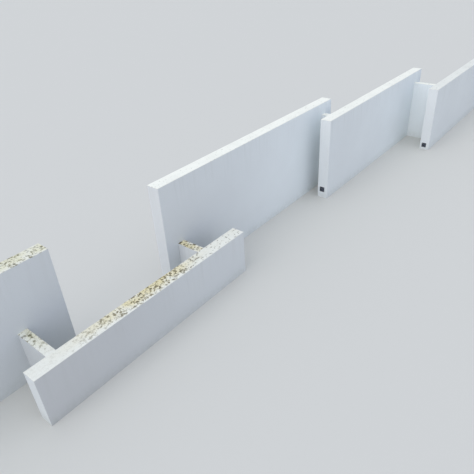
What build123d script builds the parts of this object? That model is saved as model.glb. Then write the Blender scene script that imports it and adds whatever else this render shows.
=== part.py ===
from build123d import *
import os
from dataclasses import dataclass

# A white panelled garden fence in staggered bays, with a low planting bed in front of its gap.
# Millimetres, +X along the bays, +Y to their back, +Z up, every foot on the level z = 0.

# Driving dimensions
sheet = 3
coping_plate = 4
bay_thickness = 200
return_thickness = 120
return_drop = 85
arris = 1.2

bay_1_length = 4500
bay_2_length = 4500
bay_3_length = 4300
bay_4_length = 4500
bay_1_height = 1500
bay_2_height = 1650
bay_3_height = 1520
bay_4_height = 1355
planter_length = 3380
planter_height = 700

# How each bay stands from the third one: fronts behind it are positive
bay_1_setback = 630
bay_2_setback = 440
bay_4_setback = -750
planter_setback = -140
lap_2_3 = 795
lap_3_4 = 1000
gap_1_2 = 1515
lap_1_planter = 890
left_return_inset = 260
right_return_inset = 640
step_inset = 460
link_inset = 640

# Welded frame inside each bay
post_width = 60
post_wall = 5
post_inset = 150
rib_plate = 5
rib_pitch = 520
head_plate = 6
bay_foot = 190
foot_clear = 25
foot_plate = 12
anchor_end = 30
anchor_side = 27
anchor_hole = 14

# Square step light in the left end of the third and fourth bays
lamp_side = 80
lamp_depth = 70
lamp_wall = 2.5
lamp_ledge = 3
bezel_width = 8
bezel_proud = 3
lens_plate = 4
lens_recess = 5
lamp_from_front = 110
bay_3_lamp_height = 165
bay_4_lamp_height = 98
fit_gap = 0.3


@dataclass
class Wall:
    """One straight bay or return: u runs along it, v across it from its front, w up.

    lamp_height is where the light in its left end is centred, and 0 where it has none.
    """

    name: str
    corner: tuple
    length: float
    height: float
    thickness: float
    posts: int
    foot: float = bay_foot
    along: tuple = (1, 0, 0)
    lamp_height: float = 0

    def base(self, level=0.0):
        x, y = self.corner
        return Plane(origin=(x, y, level), x_dir=self.along, z_dir=(0, 0, 1))

    def across(self):
        return Axis(self.base().origin, self.base().y_dir)

    def inner(self):
        return self.thickness - 2 * sheet

    def panel_height(self):
        return self.height - coping_plate

    def post_places(self):
        if self.posts == 1:
            return [(self.length / 2, self.thickness / 2)]
        pitch = (self.length - 2 * post_inset) / (self.posts - 1)
        return [(post_inset + pitch * n, self.thickness / 2) for n in range(self.posts)]


# Layout, worked out from the third bay, whose first foot is the origin
bay_3_left = -post_inset
bay_3_front = -bay_thickness / 2
bay_2_right = bay_3_left + lap_2_3
bay_2_left = bay_2_right - bay_2_length
bay_1_right = bay_2_left - gap_1_2
bay_4_left = bay_3_left + bay_3_length - lap_3_4
planter_left = bay_1_right - lap_1_planter
planter_right = planter_left + planter_length
bay_1_front = bay_3_front + bay_1_setback
bay_2_front = bay_3_front + bay_2_setback
bay_3_back = bay_3_front + bay_thickness
bay_4_front = bay_3_front + bay_4_setback
planter_back = bay_3_front + planter_setback + bay_thickness
bay_4_back = bay_4_front + bay_thickness

bays = [
    Wall("bay_1", (bay_1_right - bay_1_length, bay_1_front), bay_1_length, bay_1_height, bay_thickness, 5),
    Wall("bay_2", (bay_2_left, bay_2_front), bay_2_length, bay_2_height, bay_thickness, 5),
    Wall(
        "bay_3", (bay_3_left, bay_3_front), bay_3_length, bay_3_height, bay_thickness, 5,
        lamp_height=bay_3_lamp_height,
    ),
    Wall(
        "bay_4", (bay_4_left, bay_4_front), bay_4_length, bay_4_height, bay_thickness, 5,
        lamp_height=bay_4_lamp_height,
    ),
    Wall("planter", (planter_left, bay_3_front + planter_setback), planter_length, planter_height, bay_thickness, 4),
]


def return_wall(name, left, front, rear, height):
    """A short wall with one post, from the back of one bay to the front of the bay behind it."""
    length = rear - front
    return Wall(
        name, (left + return_thickness, front), length, height, return_thickness, posts=1,
        foot=length - 2 * foot_clear, along=(0, 1, 0),
    )


planter_left_x = planter_left + left_return_inset
planter_right_x = planter_right - right_return_inset - return_thickness
returns = [
    return_wall("planter_left_return", planter_left_x, planter_back, bay_1_front, planter_height),
    return_wall("planter_right_return", planter_right_x, planter_back, bay_2_front, planter_height),
    return_wall(
        "step_return", bay_3_left + step_inset, bay_3_back, bay_2_front, bay_3_height - return_drop
    ),
    return_wall(
        "link_return", bay_4_left + link_inset, bay_4_back, bay_3_front, bay_4_height - return_drop
    ),
]


def save(builder, name):
    builder.part.label = name
    export_step(builder.part, f"parts/{name}.step")


def face_panels(wall, name, offsets):
    """Flat sheets along the bay, with eased edges on their outer faces."""
    with BuildPart() as panels:
        with BuildSketch(wall.base()):
            with Locations(*[(wall.length / 2, offset) for offset in offsets]):
                Rectangle(wall.length, sheet)
        extrude(amount=wall.panel_height())
        faces = panels.faces().filter_by(Axis(wall.base().origin, wall.base().y_dir))
        outer = []
        if offsets[0] < wall.thickness / 2:
            outer += faces.sort_by(wall.across())[0].edges()
        if offsets[-1] > wall.thickness / 2:
            outer += faces.sort_by(wall.across())[-1].edges()
        fillet(outer, radius=arris)
    save(panels, name)


def lamp_plane(wall, u):
    """Faces out of the bay's left end, centred on its light."""
    x, y = wall.corner
    return Plane(
        origin=(x + u, y + lamp_from_front, wall.lamp_height), x_dir=(0, -1, 0), z_dir=(-1, 0, 0)
    )


def end_panel(wall, name, u, cut_for_lamp):
    """The sheet that closes one end, between the two face panels."""
    with BuildPart() as panel:
        with BuildSketch(wall.base()):
            with Locations((u, wall.thickness / 2)):
                Rectangle(sheet, wall.inner())
        extrude(amount=wall.panel_height())
        if cut_for_lamp:
            with BuildSketch(lamp_plane(wall, 0)):
                Rectangle(lamp_side + 2 * fit_gap, lamp_side + 2 * fit_gap)
            extrude(amount=-sheet, mode=Mode.SUBTRACT)
    save(panel, name)


def coping(wall):
    """The flush top plate, as long and as wide as the bay."""
    with BuildPart() as top:
        with BuildSketch(wall.base(wall.panel_height())):
            with Locations((wall.length / 2, wall.thickness / 2)):
                Rectangle(wall.length, wall.thickness)
        extrude(amount=coping_plate)
        fillet(top.faces().sort_by(Axis.Z)[-1].edges(), radius=arris)
    save(top, f"{wall.name}_coping")


def frame(wall, clear_end):
    """Posts on bolted feet, joined by flat ribs and a head plate under the coping."""
    rib_rows = int(-(-wall.height // rib_pitch)) - 1
    rib_step = wall.panel_height() / (rib_rows + 1)
    rib_length = wall.length - 2 * clear_end
    middle = (wall.length / 2, wall.thickness / 2)
    head_level = wall.panel_height() - head_plate
    flange_gap = (post_width - post_wall) / 2
    with BuildPart() as welded:
        with BuildSketch(wall.base()):
            with Locations(*wall.post_places()):
                Rectangle(wall.foot, wall.inner())
        extrude(amount=foot_plate)
        with BuildSketch(wall.base()):
            with Locations(*wall.post_places()):
                Rectangle(post_width, wall.inner())
                with GridLocations(flange_gap + post_wall, 0, 2, 1):
                    Rectangle(flange_gap, wall.inner() - 2 * post_wall, mode=Mode.SUBTRACT)
        extrude(amount=head_level)
        for row in range(rib_rows):
            with BuildSketch(wall.base(rib_step * (row + 1))):
                with Locations(middle):
                    Rectangle(rib_length, wall.inner())
            extrude(amount=rib_plate)
        with BuildSketch(wall.base(head_level)):
            with Locations(middle):
                Rectangle(rib_length, wall.inner())
        extrude(amount=head_plate)
        with BuildSketch(wall.base()):
            with Locations(*wall.post_places()):
                with GridLocations(wall.foot - 2 * anchor_end, wall.inner() - 2 * anchor_side, 2, 2):
                    Circle(anchor_hole / 2)
        extrude(amount=foot_plate, mode=Mode.SUBTRACT)
    save(welded, f"{wall.name}_frame")


def step_light(wall):
    """A cast can let into the end panel, its bezel on the panel's face, and its lens on a ledge."""
    clear_side = lamp_side - 2 * lamp_wall
    with BuildPart() as can:
        with BuildSketch(lamp_plane(wall, 0)):
            Rectangle(lamp_side + 2 * bezel_width, lamp_side + 2 * bezel_width)
        extrude(amount=bezel_proud)
        with BuildSketch(lamp_plane(wall, 0)):
            Rectangle(lamp_side, lamp_side)
        extrude(amount=-lamp_depth)
        with BuildSketch(lamp_plane(wall, -bezel_proud)):
            Rectangle(clear_side, clear_side)
        extrude(amount=-(lens_recess + lens_plate), mode=Mode.SUBTRACT)
        with BuildSketch(lamp_plane(wall, -bezel_proud)):
            Rectangle(clear_side - 2 * lamp_ledge, clear_side - 2 * lamp_ledge)
        extrude(amount=-(bezel_proud + lamp_depth - lamp_wall), mode=Mode.SUBTRACT)
        fillet(can.faces().filter_by(Axis.X).sort_by(Axis.X)[0].outer_wire().edges(), radius=arris)
    save(can, f"{wall.name}_light_housing")
    with BuildPart() as lens:
        with BuildSketch(lamp_plane(wall, lens_recess - bezel_proud)):
            Rectangle(clear_side - 2 * fit_gap, clear_side - 2 * fit_gap)
        extrude(amount=-lens_plate)
    save(lens, f"{wall.name}_light_lens")


os.makedirs("parts", exist_ok=True)

for bay in bays:
    face_panels(bay, f"{bay.name}_front_panel", [sheet / 2])
    face_panels(bay, f"{bay.name}_back_panel", [bay.thickness - sheet / 2])
    end_panel(bay, f"{bay.name}_left_end", sheet / 2, bay.lamp_height > 0)
    end_panel(bay, f"{bay.name}_right_end", bay.length - sheet / 2, False)
    coping(bay)
    frame(bay, sheet)
    if bay.lamp_height:
        step_light(bay)

for link in returns:
    face_panels(link, f"{link.name}_panels", [sheet / 2, link.thickness - sheet / 2])
    coping(link)
    frame(link, 0)
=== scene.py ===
# %% [markdown]
# # A white panelled garden fence
# This notebook dresses a fence that stands in staggered bays. Each bay is a hollow box of coated
# aluminium sheet on a welded frame, and the boxes are already modelled at their real size. What is
# left is what the eye judges: the coat, its dust and stains, the light and shade painted into its
# white, the small step lights, and the soft light of an overcast day.

# %% Load the fence
import math
from dataclasses import dataclass

import bmesh
import bpy
from mathutils import Matrix, Vector


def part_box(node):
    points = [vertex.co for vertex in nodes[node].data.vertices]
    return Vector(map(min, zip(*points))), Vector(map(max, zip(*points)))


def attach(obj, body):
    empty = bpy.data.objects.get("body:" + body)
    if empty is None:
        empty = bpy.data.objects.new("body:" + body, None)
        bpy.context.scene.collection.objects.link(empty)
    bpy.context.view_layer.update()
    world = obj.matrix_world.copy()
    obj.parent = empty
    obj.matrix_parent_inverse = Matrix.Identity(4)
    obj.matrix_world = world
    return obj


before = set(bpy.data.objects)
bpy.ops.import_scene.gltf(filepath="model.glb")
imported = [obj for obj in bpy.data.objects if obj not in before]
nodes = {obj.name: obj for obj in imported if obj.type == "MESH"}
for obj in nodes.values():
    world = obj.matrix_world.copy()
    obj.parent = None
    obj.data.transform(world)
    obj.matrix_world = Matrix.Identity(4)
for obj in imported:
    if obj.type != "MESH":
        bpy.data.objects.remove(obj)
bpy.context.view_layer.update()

# %% [markdown]
# ## Colours and nodes
# Colours are easiest to think of as the hex values of a paint card, but the renderer mixes light, so
# it wants them linear. One function does that. Another one adds a shader node, sets its inputs and
# links it, so that a material reads as a short list of what it is made of.

# %% Helpers for colours and nodes
MM = 0.001


def colour(hex_value):
    """A paint card's hex value as the linear colour that the renderer mixes."""
    channels = [int(hex_value[i : i + 2], 16) / 255 for i in (1, 3, 5)]
    return [c / 12.92 if c <= 0.04045 else ((c + 0.055) / 1.055) ** 2.4 for c in channels] + [1.0]


def blended(hex_value, over, share):
    """One paint with a share of another stirred in, mixed in linear light."""
    return [a + (b - a) * share for a, b in zip(colour(hex_value), colour(over))]


def add(tree, kind, inputs=None, **settings):
    """Adds a node. An input is a value, or another node's output socket to link."""
    node = tree.nodes.new(kind)
    for name, value in settings.items():
        setattr(node, name, value)
    for socket, value in (inputs or {}).items():
        if isinstance(value, bpy.types.NodeSocket):
            tree.links.new(value, node.inputs[socket])
        else:
            node.inputs[socket].default_value = value
    return node


def new_material(name):
    """A material with its node tree, its principled shader and its object coordinates."""
    material = bpy.data.materials.new(name)
    material.use_nodes = True
    tree = material.node_tree
    place = tree.nodes.new("ShaderNodeTexCoord").outputs["Object"]
    return material, tree, tree.nodes["Principled BSDF"], place


print("a mid grey card is", round(colour("#808080")[0], 3), "of white in linear light")

# %% [markdown]
# ## How dirt is drawn
# Everything that settles on the coat is drawn in the same two steps. First a noise is cut between two
# of its levels, which leaves soft patches of a chosen size in metres. Then a tint is laid over the
# colour below, as strong as the patches, times the shares that say where on the fence this dirt
# belongs. An image would repeat from bay to bay, and noise on the object's own metres never does.
# The grain of a casting and the lines on a rolled plate are patches too, only finer.

# %% Patches and tints
@dataclass
class Mottle:
    """Soft patches, and the tint that they lay over the colour below, where they have one."""

    size: float  # of a patch, in metres
    cut: tuple  # the noise's level at a patch's rim, and the level where the patch is full
    detail: float = 3.0  # the higher, the more ragged its rim
    tint: str = ""
    cover: float = 0.0  # how much of the tint shows where a patch is full


def patches(tree, place, mottle):
    """A mottle's patches, as a share of 0 to 1."""
    noise = add(
        tree, "ShaderNodeTexNoise", {"Vector": place, "Scale": 1 / mottle.size, "Detail": mottle.detail}
    )
    rim, full = mottle.cut
    cut = add(
        tree, "ShaderNodeMapRange", {"Value": noise.outputs["Fac"], "From Min": rim, "From Max": full}
    )
    return cut.outputs["Result"]


def tinted(tree, under, tint, strength, *shares):
    """Lays a tint over a colour, as strong as strength times all the shares."""
    for share in shares:
        product = add(tree, "ShaderNodeMath", {0: strength, 1: share}, operation="MULTIPLY")
        strength = product.outputs["Value"]
    mixed = add(
        tree, "ShaderNodeMix", {"Factor": strength, "A": under, "B": colour(tint)}, data_type="RGBA"
    )
    return mixed.outputs["Result"]


def mottled(tree, under, place, mottle, *where):
    """Lays a mottle over a colour: where holds shares that say where it belongs."""
    return tinted(tree, under, mottle.tint, mottle.cover, patches(tree, place, mottle), *where)


print("patches of 36 mm need a noise of scale", round(1 / (36 * MM), 1))

# %% [markdown]
# Dirt has its place: rain draws it down from the top edge, and splashes it up along the foot. Such a
# place is a share that eases from one value to another along an axis. The last helper hands the colour
# to the shader, and adds the two things that a coat has besides its colour: how dull it is, and how
# deep the relief is that breaks up its highlight.

# %% Places and surfaces
BUMP_STRENGTH = 0.5


def eased(tree, place, axis, start, end, at_start=0.0, at_end=1.0):
    """A share that eases from at_start to at_end between two places on an axis, in metres."""
    axes = add(tree, "ShaderNodeSeparateXYZ", {"Vector": place})
    share = add(
        tree, "ShaderNodeMapRange",
        {
            "Value": axes.outputs[axis], "From Min": start, "From Max": end,
            "To Min": at_start, "To Max": at_end,
        },
        interpolation_type="SMOOTHSTEP",
    )
    return share.outputs["Result"]


def surface(tree, shader, tone, place, relief, depth, dull, roughness):
    """Gives the shader its tone, a bump in the patches of one mottle, and a roughness.

    depth is how deep the mottle relief really is. Roughness is a pair: its first value holds between
    the patches of the mottle dull, and its second in them."""
    tree.links.new(tone, shader.inputs["Base Color"])
    least, most = roughness
    rough = add(
        tree, "ShaderNodeMapRange", {"Value": patches(tree, place, dull), "To Min": least, "To Max": most}
    )
    tree.links.new(rough.outputs["Result"], shader.inputs["Roughness"])
    bump = add(
        tree, "ShaderNodeBump",
        {"Height": patches(tree, place, relief), "Strength": BUMP_STRENGTH, "Distance": depth},
    )
    tree.links.new(bump.outputs["Normal"], shader.inputs["Normal"])


print("relief is drawn at", BUMP_STRENGTH, "of its full strength")

# %% [markdown]
# ## How much painted shade each wall has
# The fence is white all over, but each wall's coat is greyed more or less by painted shade. The first
# bay and the bed's walls are painted darker than the open ones, and the long walls are painted darker
# towards the bed. The bed wall's free left end is painted lighter than the rest of it, as a lit end, so
# that node has a coat of its own. A coat has to know its wall's box as well, because some dirt starts
# from an edge. That box is the coping's, which is as long and as wide as the wall is, and ends at its
# top.

# %% Dust and boxes
# Painted shade: how grey the coat is painted at the left end and at the right end
PAINTED_SHADE = {
    "bay_1": (0.36, 0.36),
    "planter": (0.58, 0.35),
    "planter_left_end": (0.2, 0.2),
    "planter_left_return": (0.38, 0.38),
    "planter_right_return": (0.34, 0.34),
    "bay_2": (0.34, 0.0),
    "step_return": (0.08, 0.08),
    "bay_3": (0.22, 0.0),
    "link_return": (0.0, 0.0),
    "bay_4": (0.23, 0.23),
}


def box_of(name):
    """The box of a node, or that of a whole wall's coping."""
    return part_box(name if name in nodes else f"{name}_coping")


print("tops at", {name: round(box_of(name)[1].z, 3) for name in PAINTED_SHADE})

# %% [markdown]
# ## The white coat
# The sheets carry a matt polyester powder coat. Powder melts and flows in the oven, which leaves a
# faint orange peel a few millimetres across, and a sheen without sharp reflections. Out of doors it
# picks up a thin dust in clouds, streaks that rain draws down from the top edge, fine specks, and a
# grey-green splash zone along the foot, whose green is partly painted reflection of light from below.
# Each of these is a mottle with a size that could be measured on a real bay.

# %% The coat and its dirt
# Matt powder coat on sheet: an even white, painted cool as the shaded copy of the tops' warm white,
# with one broad soft sheen and no mirror image
COOL_SHADED_COAT_WHITE = "#EFF6F9"
DUST_AND_SHADE_GREY = "#A6A3A3"
CLOUDS = Mottle(size=0.9, cut=(0.25, 0.75), tint=DUST_AND_SHADE_GREY, cover=0.09)
SPECKS = Mottle(size=11 * MM, cut=(0.69, 0.76), detail=1.0, tint=DUST_AND_SHADE_GREY, cover=0.22)
# Splashes along the foot: their green is partly a painted reflection of light from below
SPLASHES_AND_PAINTED_BOUNCE = Mottle(size=60 * MM, cut=(0.25, 0.7), detail=6.0, tint="#7E8670", cover=0.18)
SPLASH_HEIGHT = 0.2
PEEL = Mottle(size=5 * MM, cut=(0.0, 1.0), detail=2.0)
PEEL_DEPTH = 0.12 * MM

# A Mapping node stretches a streak to its width and length, so its own size is one
STREAKS = Mottle(size=1.0, cut=(0.5, 0.75), tint="#A7ABA4", cover=0.12)
STREAK_WIDTH = 55 * MM
STREAK_LENGTH = 1.1
STREAK_REACH = 0.6
print("streaks are", round(STREAK_LENGTH / STREAK_WIDTH), "times as long as they are wide")

# %% [markdown]
# The coat is made once for each wall, from its painted shade and its box. The order counts, because
# each layer lies over the ones before it: the even painted shade comes first, then clouds, streaks and
# specks, and last the splashes with their painted green reflection.

# %% A coat for each wall
def coat(name, low, high, painted_shade):
    """The coat of one wall, whose box is low to high: painted_shade is how much painted shade greys its
    left and right ends.
    """
    material, tree, shader, place = new_material(name)
    # Painted shade: the coat greys evenly from its left end to its right end
    grey = eased(tree, place, "X", low.x, high.x, *painted_shade)
    tone = tinted(tree, colour(COOL_SHADED_COAT_WHITE), DUST_AND_SHADE_GREY, grey)
    tone = mottled(tree, tone, place, CLOUDS)

    stretch = add(
        tree, "ShaderNodeMapping",
        {"Vector": place, "Scale": (1 / STREAK_WIDTH, 1 / STREAK_WIDTH, 1 / STREAK_LENGTH)},
    )
    near_top = eased(tree, place, "Z", high.z - STREAK_REACH, high.z)
    tone = mottled(tree, tone, stretch.outputs["Vector"], STREAKS, near_top)

    tone = mottled(tree, tone, place, SPECKS)
    # Towards the foot: splashes, with a painted green reflection in them
    near_foot = eased(tree, place, "Z", 0.0, SPLASH_HEIGHT, at_start=1.0, at_end=0.0)
    tone = mottled(tree, tone, place, SPLASHES_AND_PAINTED_BOUNCE, near_foot)
    surface(
        tree, shader, tone, place,
        relief=PEEL, depth=PEEL_DEPTH, dull=CLOUDS, roughness=(0.45, 0.6),
    )
    return material


coats = {
    name: coat(f"white_powder_coat_{name}", *box_of(name), painted_shade) for name, painted_shade in PAINTED_SHADE.items()
}
print("coats for", sorted(coats))

# %% [markdown]
# ## The copings
# A flat top plate catches what falls on it and dries there. On the tall bays that is a fine grit, with a
# thin even film of dust and a few dark specks. The tops' white is painted warmer than the faces', as
# painted light from above.

# %% The tall bays' tops
# The same coat under grit: duller than the faces and hardly specked, its white painted warmer as painted
# light from above
WARM_LIT_TOP_WHITE = "#F5F6ED"
FILM_GREY = "#A3A9B2"
GRIT_GREY = "#B4B5B1"
SPECK_DARK = "#4B463A"
GRIT = Mottle(size=9 * MM, cut=(0.45, 0.8), detail=5.0, tint=GRIT_GREY, cover=0.22)
WATER_MARKS = Mottle(size=0.3, cut=(0.45, 0.7), tint=GRIT_GREY, cover=0.12)
FEW_SPECKS = Mottle(size=36 * MM, cut=(0.74, 0.78), detail=0.0, tint=SPECK_DARK, cover=0.28)

# How much of the dust film lies on each top
FILM = {"bay_2": 0.0, "step_return": 0.0, "bay_3": 0.02, "link_return": 0.0, "bay_4": 0.22}


def clean_top(name, film):
    """The top of a tall bay: film is the share of the thin grey film that lies evenly on it."""
    material, tree, shader, place = new_material(name)
    tone = blended(WARM_LIT_TOP_WHITE, FILM_GREY, film)
    for mottle in (GRIT, WATER_MARKS, FEW_SPECKS):
        tone = mottled(tree, tone, place, mottle)
    surface(
        tree, shader, tone, place,
        relief=GRIT, depth=PEEL_DEPTH, dull=GRIT, roughness=(0.55, 0.75),
    )
    return material


tops = {wall: clean_top(f"white_powder_coat_{wall}_top", film) for wall, film in FILM.items()}
print("clean tops for", sorted(tops))

# %% [markdown]
# ## Stains round the bed
# Round the planting bed the tops stay wet for longer, and they are weathered in four steps: a grey
# film, a cream wash, brown or olive patches about as large as a thumb, and dark specks. They are
# strongest along the middle of the bed and towards its inner edge, and fade to the free corners. So
# each of these tops has a run along which its stains rise and fall again. It is measured from a corner
# of the top's own box, so that it moves with the wall.

# %% A stain and its place
@dataclass
class Weathering:
    """Where a top is stained, in metres from the low corner of its box, and with what."""

    along: str  # the axis that the wall runs along
    across: str
    rise: tuple  # along it, where the stains start and where they are full
    fall: tuple  # where they start to go again, and where they are nearly gone
    inwards: tuple  # across it, where the wash starts and where it is full
    amount: float
    mottles: tuple  # the wash, and the patches in it


def stain(wash_tint, patch_tint):
    """The two mottles of a stain: a thin wash, and the thumb-sized patches in it."""
    wash = Mottle(size=0.16, cut=(0.2, 0.55), tint=wash_tint, cover=0.8)
    patch = Mottle(size=36 * MM, cut=(0.51, 0.6), tint=patch_tint, cover=0.95)
    return wash, patch


BROWN = stain(wash_tint="#DDD09A", patch_tint="#7F744B")
OLIVE = stain(wash_tint="#D5D1A8", patch_tint="#7C774C")
for mottle in BROWN:
    print("stains of", round(mottle.size / MM), "mm, which cover", mottle.cover)

# %% [markdown]
# The stains are brown on the bed's long wall and its right return, and a paler olive on its left
# return and at the first bay's right end, which stands behind the bed. A place beyond a top's box is a
# rise that begins before the wall does, or a fall that the wall is too short for.

# %% Where the tops are stained
WEATHERED = {
    "planter": Weathering(
        along="X", across="Y", rise=(0.16, 1.56), fall=(1.91, 2.76), inwards=(-0.01, 0.14),
        amount=1.0, mottles=BROWN,
    ),
    "planter_left_return": Weathering(
        along="Y", across="X", rise=(-0.06, 0.49), fall=(0.64, 1.04), inwards=(-0.03, 0.08),
        amount=0.72, mottles=OLIVE,
    ),
    "planter_right_return": Weathering(
        along="Y", across="X", rise=(-0.41, 0.19), fall=(0.64, 1.04), inwards=(0.14, 0.06),
        amount=1.0, mottles=BROWN,
    ),
    "bay_1": Weathering(
        along="X", across="Y", rise=(2.67, 4.37), fall=(4.87, 5.87), inwards=(-0.03, 0.07),
        amount=0.72, mottles=OLIVE,
    ),
}
for wall, how in WEATHERED.items():
    print(wall, "is stained from", how.rise[0], "m along", how.along)

# %% [markdown]
# The four steps are laid over each other, the darkest last. The wash keeps to the inner side of the
# top. Patches and specks reach further out, and a last scatter of specks doesn't fall with the rest
# but runs on along the wall. First come the values that all four tops share.

# %% What the stained tops share
# The same coat where water stands: cream and brown stains and dark specks, dullest in the patches
DAMP_FILM = 0.16
DAMP_GRIT = Mottle(size=9 * MM, cut=(0.45, 0.8), detail=5.0, tint=GRIT_GREY, cover=0.3)
DARK_SPECKS = Mottle(size=27 * MM, cut=(0.58, 0.65), detail=1.0, tint=SPECK_DARK, cover=0.55)
SCATTER = Mottle(size=36 * MM, cut=(0.62, 0.68), detail=1.0, tint=SPECK_DARK, cover=0.75)

# What is left of the stains before they rise, after they fall, and on the outer edge
BEFORE_RISE = 0.05
AFTER_FALL = 0.1
ON_EDGE = 0.25

# How strong the wash is where patches and specks start to grow, and where they are full
EDGE_STRIP = (0.02, 0.25)
print("on the outer edge", ON_EDGE, "of the patches and specks are left")

# %% [markdown]
# A Mapping node moves the place to the corner of the top's box. Then rising and falling are shares
# along the wall, and inner and spread are shares across it. Each layer is multiplied by its own.

# %% The stained tops
def weathered_top(name, low, how):
    """A stained top: low is the low corner of its box, and how is its weathering."""
    material, tree, shader, place = new_material(name)
    corner = add(tree, "ShaderNodeMapping", {"Vector": place, "Location": -low}).outputs["Vector"]
    rising = eased(tree, corner, how.along, *how.rise, at_start=BEFORE_RISE)
    falling = eased(tree, corner, how.along, *how.fall, at_start=1.0, at_end=AFTER_FALL)
    inner = eased(tree, corner, how.across, *how.inwards)
    strip_start, strip_end = EDGE_STRIP
    spread = add(
        tree, "ShaderNodeMapRange",
        {"Value": inner, "From Min": strip_start, "From Max": strip_end, "To Min": ON_EDGE},
        interpolation_type="SMOOTHSTEP",
    ).outputs["Result"]

    wash, patch = how.mottles
    tone = mottled(tree, blended(WARM_LIT_TOP_WHITE, FILM_GREY, DAMP_FILM), place, DAMP_GRIT)
    tone = mottled(tree, tone, place, wash, how.amount, rising, falling, inner)
    tone = mottled(tree, tone, place, patch, how.amount, rising, falling, spread)
    tone = mottled(tree, tone, place, DARK_SPECKS, how.amount, rising, falling, spread)
    tone = mottled(tree, tone, place, SCATTER, how.amount, rising, spread)
    surface(
        tree, shader, tone, place,
        relief=DAMP_GRIT, depth=PEEL_DEPTH, dull=patch, roughness=(0.55, 0.8),
    )
    return material


for wall, how in WEATHERED.items():
    tops[wall] = weathered_top(f"stained_powder_coat_{wall}_top", box_of(wall)[0], how)
print("stained tops for", sorted(WEATHERED))

# %% [markdown]
# ## The frame's metal
# The frames inside the bays show only from below. They are mill-finish aluminium: bare, as rolled,
# grey rather than bright, with fine lines along the rolling direction and cloudy oxide. A metal keeps
# the shader's own IOR, and only its roughness and colour are matched.

# %% Mill-finish aluminium
# Bare rolled plate: a soft grey metal whose highlight is drawn out along the rolling lines. The real
# lines are under half a millimetre wide, and are drawn coarser so that they show
ROLL_LINE_WIDTH = 2 * MM
ROLL_LINE_LENGTH = 0.25
ROLL_LINES = Mottle(size=1.0, cut=(0.3, 0.7))
OXIDE = Mottle(size=0.12, cut=(0.35, 0.7), detail=5.0, tint="#8F9396", cover=0.6)


def mill_finish():
    """Bare aluminium plate, with its rolling lines along X."""
    material, tree, shader, place = new_material("mill_finish_aluminium")
    shader.inputs["Metallic"].default_value = 1.0
    tone = mottled(tree, colour("#C6C9CB"), place, OXIDE)
    rolled = add(
        tree, "ShaderNodeMapping",
        {"Vector": place, "Scale": (1 / ROLL_LINE_LENGTH, 1 / ROLL_LINE_WIDTH, 1 / ROLL_LINE_WIDTH)},
    ).outputs["Vector"]
    surface(
        tree, shader, tone, rolled,
        relief=ROLL_LINES, depth=0.05 * MM, dull=ROLL_LINES, roughness=(0.32, 0.5),
    )
    return material


metal = mill_finish()
print("made", metal.name)

# %% [markdown]
# ## The step lights' materials
# The two square lights are die-cast aluminium with a dark grey powder coat that has a fine sandy
# texture. In front sits a pane of tinted, frosted glass, so a light that is off reads as a dark
# square. Each of the lights' materials is one colour under one grain, which is its relief as well and
# makes it duller, so one function makes them all.

# %% Dark coat and glass
def grained(name, base, grain, depth, roughness, metallic=0.0):
    """A material of one colour under one grain, which is as deep as depth."""
    material, tree, shader, place = new_material(name)
    shader.inputs["Metallic"].default_value = metallic
    tone = mottled(tree, colour(base), place, grain)
    surface(tree, shader, tone, place, relief=grain, depth=depth, dull=grain, roughness=roughness)
    return material


# Sandy powder coat on a die casting: nearly black, with a dull broken sheen. The real grain of this
# coat and of the frost is about 0.3 mm, and is drawn coarser so that it shows
SAND = Mottle(size=1.5 * MM, cut=(0.3, 0.7), detail=2.0, tint="#4A5261", cover=0.5)
dark_coat = grained("dark_sandy_powder_coat", "#2F3542", SAND, depth=0.1 * MM, roughness=(0.42, 0.58))

# Frosted glass: a dark pane that blurs what is behind it
GLASS_IOR = 1.5
GLASS_CLEAR = 0.85
FROST = Mottle(size=1.5 * MM, cut=(0.3, 0.7), detail=2.0, tint="#4A5261", cover=0.3)
glass = grained("frosted_tinted_glass", "#8A93A6", FROST, depth=0.03 * MM, roughness=(0.12, 0.3))
glass_shader = glass.node_tree.nodes["Principled BSDF"]
glass_shader.inputs["IOR"].default_value = GLASS_IOR
glass_shader.inputs["Transmission Weight"].default_value = GLASS_CLEAR
print("made", dark_coat.name, glass.name)

# %% [markdown]
# Behind the glass are a pressed reflector, dulled by dust, and a white circuit board with small
# yellow diodes. Four stainless screws hold the bezel on a thin rubber gasket. They are seen only from
# close by, so their grains keep their real size.

# %% Reflector, board and diode
# Bright-anodised aluminium sheet: a blurred mirror, dulled in clouds by dust
DULLING = Mottle(size=8 * MM, cut=(0.35, 0.75), detail=4.0, tint="#9FA1A1", cover=0.5)
bright = grained(
    "satin_aluminium_reflector", "#D5D7D8", DULLING,
    depth=0.02 * MM, roughness=(0.2, 0.45), metallic=1.0,
)

# White lacquer over a glass cloth board: smooth, with a small highlight and a faint weave
WEAVE = Mottle(size=0.6 * MM, cut=(0.35, 0.65), detail=1.0, tint="#B9BDB6", cover=0.4)
lacquer = grained("white_board_lacquer", "#E4E6E1", WEAVE, depth=0.02 * MM, roughness=(0.25, 0.4))

# Silicone with a yellow phosphor in it: a dense, grainy yellow with a soft highlight
PHOSPHOR = Mottle(size=0.4 * MM, cut=(0.3, 0.7), detail=1.0, tint="#B8922A", cover=0.5)
gel = grained("yellow_diode_gel", "#E0BE45", PHOSPHOR, depth=0.02 * MM, roughness=(0.3, 0.4))
print("made", bright.name, lacquer.name, gel.name)

# %% Screw and gasket
# Turned stainless steel: a bright grey metal with its highlight broken by the tool's marks
TOOL_MARKS = Mottle(size=0.5 * MM, cut=(0.3, 0.7), detail=2.0, tint="#8B8D8E", cover=0.5)
steel = grained(
    "turned_stainless_steel", "#BFC1C2", TOOL_MARKS,
    depth=0.01 * MM, roughness=(0.22, 0.4), metallic=1.0,
)

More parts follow.
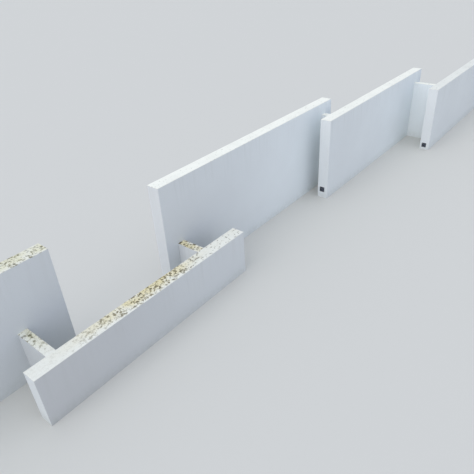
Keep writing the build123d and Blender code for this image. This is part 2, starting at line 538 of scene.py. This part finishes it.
# Moulded rubber: nearly black and quite dull, with a pale bloom where it has aged
BLOOM = Mottle(size=3 * MM, cut=(0.4, 0.75), tint="#4A4B4C", cover=0.4)
rubber = grained("moulded_black_rubber", "#1E1F21", BLOOM, depth=0.04 * MM, roughness=(0.7, 0.85))
print("made", steel.name, rubber.name)

# %% [markdown]
# ## Dress the nodes
# A node's name says which wall it belongs to and which part of it it is, so one loop dresses them
# all. A node that has a coat of its own gets it, and the others get their wall's.

# %% Dress the nodes
PARTS = ("_front_panel", "_back_panel", "_left_end", "_right_end", "_panels", "_coping", "_frame")


def wall_of(name):
    """The wall that a node belongs to: the node's name without the part's."""
    for part in PARTS:
        if name.endswith(part):
            return name[: -len(part)]
    return ""


def finish_of(name):
    """The material that a node is dressed in."""
    if name.endswith("_frame"):
        return metal
    if name.endswith("_light_housing"):
        return dark_coat
    if name.endswith("_light_lens"):
        return glass
    if name.endswith("_coping"):
        return tops[wall_of(name)]
    return coats[name if name in coats else wall_of(name)]


for name, node in nodes.items():
    for slot in node.material_slots:
        slot.material = finish_of(name)
print("dressed", len(nodes), "nodes")

# %% [markdown]
# ## Inside the step lights
# The housings and panes are already modelled. What they lack is what a close look finds: behind the
# glass a square reflector that narrows to a small board with nine diodes, four screws in the bezel,
# and the edge of a rubber gasket where the bezel meets the bay. Each is drawn once, facing upwards
# with the glass at height zero, and is then turned and moved to face out of a bay's left end. The
# transform goes into the mesh, so that every finished object stays at the origin.

# %% Turning a piece to a light's place
# A piece's own top turns to the left, where the lights look, and its own Y turns up
FACING_LEFT = Matrix(((0, 0, -1), (-1, 0, 0), (0, 1, 0))).to_4x4()
STRAIGHT_UP = 0.99


def finished(name, mesh, place, finishes):
    """Puts a bmesh in its place, makes an object of it and lets it ride with the fence."""
    bmesh.ops.transform(mesh, matrix=Matrix.Translation(place) @ FACING_LEFT, verts=mesh.verts)
    bmesh.ops.recalc_face_normals(mesh, faces=mesh.faces)
    data = bpy.data.meshes.new(name)
    mesh.to_mesh(data)
    mesh.free()
    for finish in finishes:
        data.materials.append(finish)
    piece = bpy.data.objects.new(name, data)
    bpy.context.scene.collection.objects.link(piece)
    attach(piece, "root")
    print(name, "faces", len(data.polygons))


def top_faces(mesh):
    """The faces of a bmesh that look straight up."""
    mesh.normal_update()
    return [face for face in mesh.faces if face.normal.z > STRAIGHT_UP]


# %% [markdown]
# The reflector is a four-sided cone, which is what a cylinder operator gives with four segments. Its
# open mouth is just inside the housing, its corners are rounded by a bevel as a press rounds them,
# and solidify gives it the thickness of thin sheet.

# %% The reflector
REFLECTOR_MOUTH = 66 * MM
REFLECTOR_FLOOR = 34 * MM
REFLECTOR_DEPTH = 26 * MM
REFLECTOR_SHEET = 0.8 * MM
CORNER_ROUND = 6 * MM
BEHIND_PANE = 1.5 * MM


def reflector():
    """The pressed reflector. A cone's radius reaches to its corners, so it is a side over root two."""
    mesh = bmesh.new()
    bmesh.ops.create_cone(
        mesh, cap_ends=True, segments=4,
        radius1=REFLECTOR_FLOOR / math.sqrt(2), radius2=REFLECTOR_MOUTH / math.sqrt(2),
        depth=REFLECTOR_DEPTH,
        matrix=Matrix.Translation((0, 0, -REFLECTOR_DEPTH / 2 - BEHIND_PANE))
        @ Matrix.Rotation(math.radians(45), 4, "Z"),
    )
    bmesh.ops.delete(mesh, geom=top_faces(mesh), context="FACES_ONLY")
    slanted = [edge for edge in mesh.edges if abs(edge.verts[0].co.z - edge.verts[1].co.z) > MM]
    bmesh.ops.bevel(
        mesh, geom=slanted, offset=CORNER_ROUND, affect="EDGES", segments=4, profile=0.5, material=-1
    )
    bmesh.ops.solidify(mesh, geom=mesh.faces[:], thickness=REFLECTOR_SHEET)
    return mesh


print("reflector", round(REFLECTOR_MOUTH / MM), "mm wide and", round(REFLECTOR_DEPTH / MM), "mm deep")

# %% [markdown]
# The board lies on the reflector's floor. It is a thin plate with broken edges, so it starts as a cube
# of size one, which the matrix stretches to the plate's three sides, and a bevel breaks the edges.

# %% The board
BOARD_SIDE = 30 * MM
BOARD_PLATE = 1.6 * MM
BOARD_EDGE = 0.3 * MM
BOARD_TOP = -(BEHIND_PANE + REFLECTOR_DEPTH - REFLECTOR_SHEET - BOARD_PLATE)


def board():
    """The circuit board, on the reflector's floor."""
    mesh = bmesh.new()
    bmesh.ops.create_cube(
        mesh, size=1.0,
        matrix=Matrix.Translation((0, 0, BOARD_TOP - BOARD_PLATE / 2))
        @ Matrix.Diagonal((BOARD_SIDE, BOARD_SIDE, BOARD_PLATE, 1)),
    )
    bmesh.ops.bevel(
        mesh, geom=mesh.edges[:], offset=BOARD_EDGE, affect="EDGES", segments=2, profile=0.5,
        material=-1,
    )
    return mesh


print("the board's face lies", round(-BOARD_TOP / MM, 1), "mm behind the pane")

# %% [markdown]
# Each diode on the board is a small block whose top is inset and pushed down. The floor of that well
# gets the second material, the yellow gel, and the rim round it stays white.

# %% The diodes
DIODE_SIDE = 3.4 * MM
DIODE_HEIGHT = 0.9 * MM
DIODE_PITCH = 9 * MM
DIODE_RIM = 0.5 * MM
DIODE_WELL = 0.25 * MM


def diodes():
    """Three rows of three diodes, standing on the board."""
    mesh = bmesh.new()
    for row in (-1, 0, 1):
        for column in (-1, 0, 1):
            middle = (column * DIODE_PITCH, row * DIODE_PITCH, BOARD_TOP + DIODE_HEIGHT / 2)
            bmesh.ops.create_cube(
                mesh, size=1.0,
                matrix=Matrix.Translation(middle)
                @ Matrix.Diagonal((DIODE_SIDE, DIODE_SIDE, DIODE_HEIGHT, 1)),
            )
    wells = top_faces(mesh)
    bmesh.ops.inset_individual(mesh, faces=wells, thickness=DIODE_RIM, depth=-DIODE_WELL)
    for face in wells:
        face.material_index = 1
    return mesh


print("diodes", round(DIODE_SIDE / MM, 1), "mm square,", round(DIODE_PITCH / MM), "mm apart")

# %% [markdown]
# A bezel screw is a low round head with a six-sided socket. The head starts as a short cylinder. Its
# top face goes again, because a face with a hole in it has to be made from the hole's edge and the rim.

# %% A screw's head
SCREW_RADIUS = 2.5 * MM
SCREW_HEAD = 1.2 * MM
SCREW_SEGMENTS = 24


def open_head(mesh, middle):
    """Adds a head without its top to a bmesh, its underside at middle, and gives back its rim."""
    head = bmesh.ops.create_cone(
        mesh, cap_ends=True, segments=SCREW_SEGMENTS, radius1=SCREW_RADIUS, radius2=SCREW_RADIUS,
        depth=SCREW_HEAD, matrix=Matrix.Translation(middle + Vector((0, 0, SCREW_HEAD / 2))),
    )["verts"]
    cap = [face for face in top_faces(mesh) if all(vert in head for vert in face.verts)]
    rim = cap[0].edges[:]
    bmesh.ops.delete(mesh, geom=cap, context="FACES_ONLY")
    return rim


print("a head is", round(2 * SCREW_RADIUS / MM, 1), "mm wide")

# %% [markdown]
# The socket starts as a ring of six points in the middle of the top. Bridging that ring and the rim
# makes the face between them. Then the ring is extruded down and its floor is filled.

# %% A screw's socket
SOCKET_RADIUS = 1.25 * MM
SOCKET_DEPTH = 0.8 * MM


def sink_socket(mesh, middle, rim):
    """Closes the head at middle with a top that has a socket in it."""
    socket = bmesh.ops.create_circle(
        mesh, segments=6, radius=SOCKET_RADIUS, cap_ends=False,
        matrix=Matrix.Translation((middle.x, middle.y, middle.z + SCREW_HEAD)),
    )["verts"]
    ring = [edge for edge in mesh.edges if all(vert in socket for vert in edge.verts)]
    bmesh.ops.bridge_loops(mesh, edges=rim + ring)
    walls = bmesh.ops.extrude_edge_only(mesh, edges=ring)["geom"]
    lowered = [part for part in walls if isinstance(part, bmesh.types.BMVert)]
    bmesh.ops.translate(mesh, verts=lowered, vec=(0, 0, -SOCKET_DEPTH))
    floor_ring = [
        part for part in walls
        if isinstance(part, bmesh.types.BMEdge) and all(vert in lowered for vert in part.verts)
    ]
    bmesh.ops.contextual_create(mesh, geom=floor_ring)


print("under a socket are", round((SCREW_HEAD - SOCKET_DEPTH) / MM, 1), "mm of steel")

# %% [markdown]
# The rim is rounded last, by a bevel, when the faces on both its sides are there. The heads stand in
# the four corners of the bezel, sunk in it by half their height.

# %% The bezel screws
SCREW_ROUND = 0.5 * MM
BEZEL_INSET = 5 * MM


def bezel_screws(side):
    """Four screw heads in the corners of a bezel that is side wide."""
    mesh = bmesh.new()
    reach = side / 2 - BEZEL_INSET
    for x in (-reach, reach):
        for y in (-reach, reach):
            middle = Vector((x, y, -SCREW_HEAD / 2))
            rim = open_head(mesh, middle)
            sink_socket(mesh, middle, rim)
            bmesh.ops.bevel(
                mesh, geom=rim, offset=SCREW_ROUND, affect="EDGES", segments=3, profile=0.5,
                material=-1,
            )
    return mesh


print("screws stand", round(BEZEL_INSET / MM, 1), "mm in from the bezel's sides")

# %% [markdown]
# The gasket is a square frame of thin rubber that stands out a little round the bezel. It starts as a
# flat square whose middle is inset and removed, is given its thickness by extrusion, and its edges
# are rounded. The inset has to be told to count the square's open rim as an edge to move in from.

# %% The gasket
GASKET_PROUD = 0.9 * MM
GASKET_SHEET = 1.2 * MM
GASKET_BAND = 2.4 * MM
SHARP = math.radians(45)


def gasket(side):
    """A frame of rubber round a bezel that is side wide, lying on the bay's end."""
    mesh = bmesh.new()
    bmesh.ops.create_grid(mesh, x_segments=1, y_segments=1, size=side / 2 + GASKET_PROUD)
    middle = mesh.faces[:]
    bmesh.ops.inset_region(
        mesh, faces=middle, thickness=GASKET_BAND, use_boundary=True, use_even_offset=True
    )
    bmesh.ops.delete(mesh, geom=middle, context="FACES")
    raised = bmesh.ops.extrude_face_region(mesh, geom=mesh.faces[:])["geom"]
    lifted = [part for part in raised if isinstance(part, bmesh.types.BMVert)]
    bmesh.ops.translate(mesh, verts=lifted, vec=(0, 0, GASKET_SHEET))
    bmesh.ops.recalc_face_normals(mesh, faces=mesh.faces)
    upper = [
        edge for edge in mesh.edges
        if all(vert.co.z > GASKET_SHEET / 2 for vert in edge.verts) and edge.calc_face_angle() > SHARP
    ]
    bmesh.ops.bevel(
        mesh, geom=upper, offset=GASKET_SHEET / 3, affect="EDGES", segments=2, profile=0.5, material=-1
    )
    return mesh


print("the rubber shows", round(GASKET_PROUD / MM, 1), "mm round the bezel")

# %% [markdown]
# The frame says where the pieces go. All are centred on the pane. The reflector, the board and the
# diodes hang behind its back, the screws sit in the face of the bezel, and the gasket lies on the
# face of the bay's end.

# %% Fit out the lights
PANE = "_light_lens"
lit_bays = sorted(name[: -len(PANE)] for name in nodes if name.endswith(PANE))

for bay in lit_bays:
    pane_low, pane_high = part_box(f"{bay}{PANE}")
    housing_low, housing_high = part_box(f"{bay}_light_housing")
    end_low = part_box(f"{bay}_left_end")[0]
    bezel_side = housing_high.y - housing_low.y
    middle = (pane_low + pane_high) / 2
    behind = Vector((pane_high.x, middle.y, middle.z))
    on_bezel = Vector((housing_low.x, middle.y, middle.z))
    on_end = Vector((end_low.x, middle.y, middle.z))
    finished(f"{bay}_light_reflector", reflector(), behind, [bright])
    finished(f"{bay}_light_board", board(), behind, [lacquer])
    finished(f"{bay}_light_diodes", diodes(), behind, [lacquer, gel])
    finished(f"{bay}_bezel_screws", bezel_screws(bezel_side), on_bezel, [steel])
    finished(f"{bay}_bezel_gasket", gasket(bezel_side), on_end, [rubber])

# %% [markdown]
# ## The floor
# The floor is plain and pale, a shade deeper than the coat, so that the white tops stand out on it. It
# is one face, far larger than the fence, so that its rim is never seen.

# %% Floor
FLOOR_SIDE = 400.0
FLOOR_TONE = "#CECECA"
FLOOR_ROUGHNESS = 0.9

floor_mesh = bmesh.new()
bmesh.ops.create_grid(floor_mesh, x_segments=1, y_segments=1, size=FLOOR_SIDE / 2)
floor_data = bpy.data.meshes.new("floor")
floor_mesh.to_mesh(floor_data)
floor_mesh.free()
floor = bpy.data.objects.new("floor", floor_data)
bpy.context.scene.collection.objects.link(floor)
floor_paint, _, floor_shader, _ = new_material("floor_paint")
floor_shader.inputs["Base Color"].default_value = colour(FLOOR_TONE)
floor_shader.inputs["Roughness"].default_value = FLOOR_ROUGHNESS
floor_data.materials.append(floor_paint)
print("floor", FLOOR_SIDE, "m wide")

# %% [markdown]
# ## The light
# The day in mind is overcast. Most of the light is a bluish sky from all round. A little more comes
# straight down, and some from low on the left, a little warm, where the cloud is thinnest. That lifts
# the left ends over the long faces. Both lamps are discs 60 degrees wide, so every shadow is soft.
# The sky's blue only lights the fence: what the eye, a reflection or the glass sees behind it is a
# backdrop as pale as the floor.

# %% Sky and backdrop
SKY_TINT = (0.81, 0.865, 1.0, 1.0)
SKY_STRENGTH = 0.825
BACKDROP_TONE = "#CFD3D6"

world = bpy.data.worlds.new("overcast_sky")
bpy.context.scene.world = world
world.use_nodes = True
sky_tree = world.node_tree
sky = sky_tree.nodes["Background"]
sky.inputs["Color"].default_value = SKY_TINT
sky.inputs["Strength"].default_value = SKY_STRENGTH
backdrop = add(sky_tree, "ShaderNodeBackground", {"Color": colour(BACKDROP_TONE), "Strength": 1.0})
ray = add(sky_tree, "ShaderNodeLightPath")
direct = add(
    sky_tree, "ShaderNodeMath", {0: ray.outputs["Is Camera Ray"], 1: ray.outputs["Is Glossy Ray"]},
    operation="MAXIMUM",
)
seen = add(
    sky_tree, "ShaderNodeMath", {0: direct.outputs["Value"], 1: ray.outputs["Is Transmission Ray"]},
    operation="MAXIMUM",
)
shown = add(sky_tree, "ShaderNodeMixShader", {0: seen.outputs["Value"]})
sky_tree.links.new(sky.outputs["Background"], shown.inputs[1])
sky_tree.links.new(backdrop.outputs["Background"], shown.inputs[2])
sky_tree.links.new(shown.outputs["Shader"], sky_tree.nodes["World Output"].inputs["Surface"])
print("sky", SKY_STRENGTH, "of white")

# %% Cloud
CLOUD_WIDTH = 60.0


def cloud_light(name, way, tint, strength):
    """A wide soft disc of light from the direction way."""
    data = bpy.data.lights.new(name, "SUN")
    data.color = tint
    data.energy = strength
    data.angle = math.radians(CLOUD_WIDTH)
    lamp = bpy.data.objects.new(name, data)
    lamp.rotation_euler = Vector(way).to_track_quat("Z", "Y").to_euler()
    bpy.context.scene.collection.objects.link(lamp)
    print(name, strength)


cloud_light("cloud_overhead", way=(0.0, 0.0, 1.0), tint=(0.95, 1.0, 0.95), strength=0.6)
cloud_light("cloud_left", way=(-0.85, 0.05, 0.5), tint=(1.0, 0.915, 0.83), strength=1.01)

# %% [markdown]
# ## The camera
# The picture is taken from a first-floor window. A camera's place and direction are easy to say in
# metres and degrees: where it stands, how far it is turned from +Y towards +X, how far it looks
# down, and how far it is tipped sideways.

# %% Camera
EYE = (-7.350, -3.934, 4.278)
HEADING = 49.45
LOOK_DOWN = 32.26
TIPPED = -3.62
FOCAL_PIXELS = 468.9
PICTURE_PIXELS = 474
SENSOR = 36.0
FARTHEST = 1000.0

camera_data = bpy.data.cameras.new("camera")
camera_data.sensor_width = SENSOR
camera_data.sensor_fit = "HORIZONTAL"
camera_data.lens = FOCAL_PIXELS * SENSOR / PICTURE_PIXELS
camera_data.clip_end = FARTHEST
camera = bpy.data.objects.new("camera", camera_data)
camera.matrix_world = (
    Matrix.Translation(EYE)
    @ Matrix.Rotation(math.radians(-HEADING), 4, "Z")
    @ Matrix.Rotation(math.radians(90 - LOOK_DOWN), 4, "X")
    @ Matrix.Rotation(math.radians(TIPPED), 4, "Z")
)
bpy.context.scene.collection.objects.link(camera)
bpy.context.scene.camera = camera
bpy.context.scene.view_settings.view_transform = "Standard"
print("lens", round(camera_data.lens, 2), "mm")
